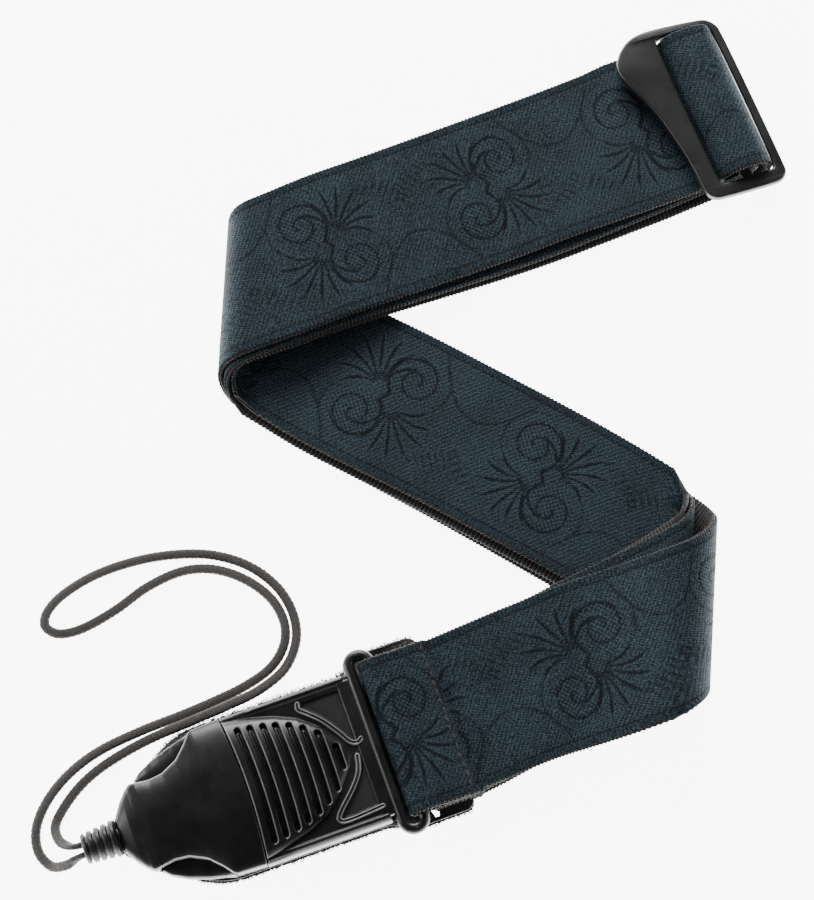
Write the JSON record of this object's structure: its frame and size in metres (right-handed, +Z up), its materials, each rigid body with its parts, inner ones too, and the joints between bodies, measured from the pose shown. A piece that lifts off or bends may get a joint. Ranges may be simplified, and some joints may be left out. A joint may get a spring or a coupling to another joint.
{
  "type": "guitar strap",
  "caption": "Folded jacquard guitar strap with a tri-glide slider, a leather end tab and a quick-release buckle that carries a braided tie lace.",
  "frame": {"origin": "middle of the footprint of everything but the lace, on the surface it lies on", "axes": "+Z up; Y runs along the two folds; the slider is towards +X +Y and the buckle towards -X -Y"},
  "size_m": [0.2318, 0.3053, 0.0229],
  "materials": {
    "strap_webbing": "ribbed black webbing",
    "strap_jacquard": "tone-on-tone slate jacquard",
    "loop_webbing": "ribbed black webbing",
    "loop_jacquard": "tone-on-tone slate jacquard",
    "loop_seam": "brownish black thread",
    "triglide": "satin black with a worn bright rim",
    "tab_leather": "smooth black",
    "tab_suede": "black suede with fuzzy cut edges",
    "receiver_cover": "satin gloss black, ribbed grip",
    "receiver_base": "satin gloss black",
    "nose_cover": "satin gloss black",
    "nose_base": "satin gloss black",
    "latch_left": "satin gloss black",
    "latch_right": "satin gloss black",
    "strain_relief": "ribbed black rubber",
    "lace": "flat black braid"
  },
  "bodies": {
    "strap": {"strap_webbing": "strap_webbing", "strap_jacquard": "strap_jacquard", "loop_webbing": "loop_webbing", "loop_jacquard": "loop_jacquard", "loop_seam": "loop_seam", "tab_leather": "tab_leather", "tab_suede": "tab_suede"},
    "slider": {"triglide": "triglide"},
    "receiver": {"receiver_cover": "receiver_cover", "receiver_base": "receiver_base"},
    "nose": {"nose_cover": "nose_cover", "nose_base": "nose_base", "strain_relief": "strain_relief", "lace": "lace"},
    "left_pad": {"latch_left": "latch_left"},
    "right_pad": {"latch_right": "latch_right"}
  },
  "joints": [
    {"name": "slider_tilt", "type": "hinge", "parent": "strap", "child": "slider", "pos_m": [0.08039, 0.1204, 0.0071], "axis": [-0.433, 0.9014, 0], "range_deg": [0, 5]},
    {"name": "buckle_swing", "type": "hinge", "parent": "strap", "child": "receiver", "pos_m": [-0.00995, -0.10401, 0.011], "axis": [-0.4099, 0.9121, 0], "range_deg": [0, 75]},
    {"name": "nose_release", "type": "slide", "parent": "receiver", "child": "nose", "axis": [-0.9121, -0.4099, 0], "range_m": [0, 0.035]},
    {"name": "left_press", "type": "slide", "parent": "nose", "child": "left_pad", "axis": [0.4099, -0.9121, 0], "range_m": [0, 0.0014], "stiffness_N_per_m": 2500},
    {"name": "right_press", "type": "slide", "parent": "nose", "child": "right_pad", "axis": [-0.4099, 0.9121, 0], "range_m": [0, 0.0014], "stiffness_N_per_m": 2500}
  ]
}
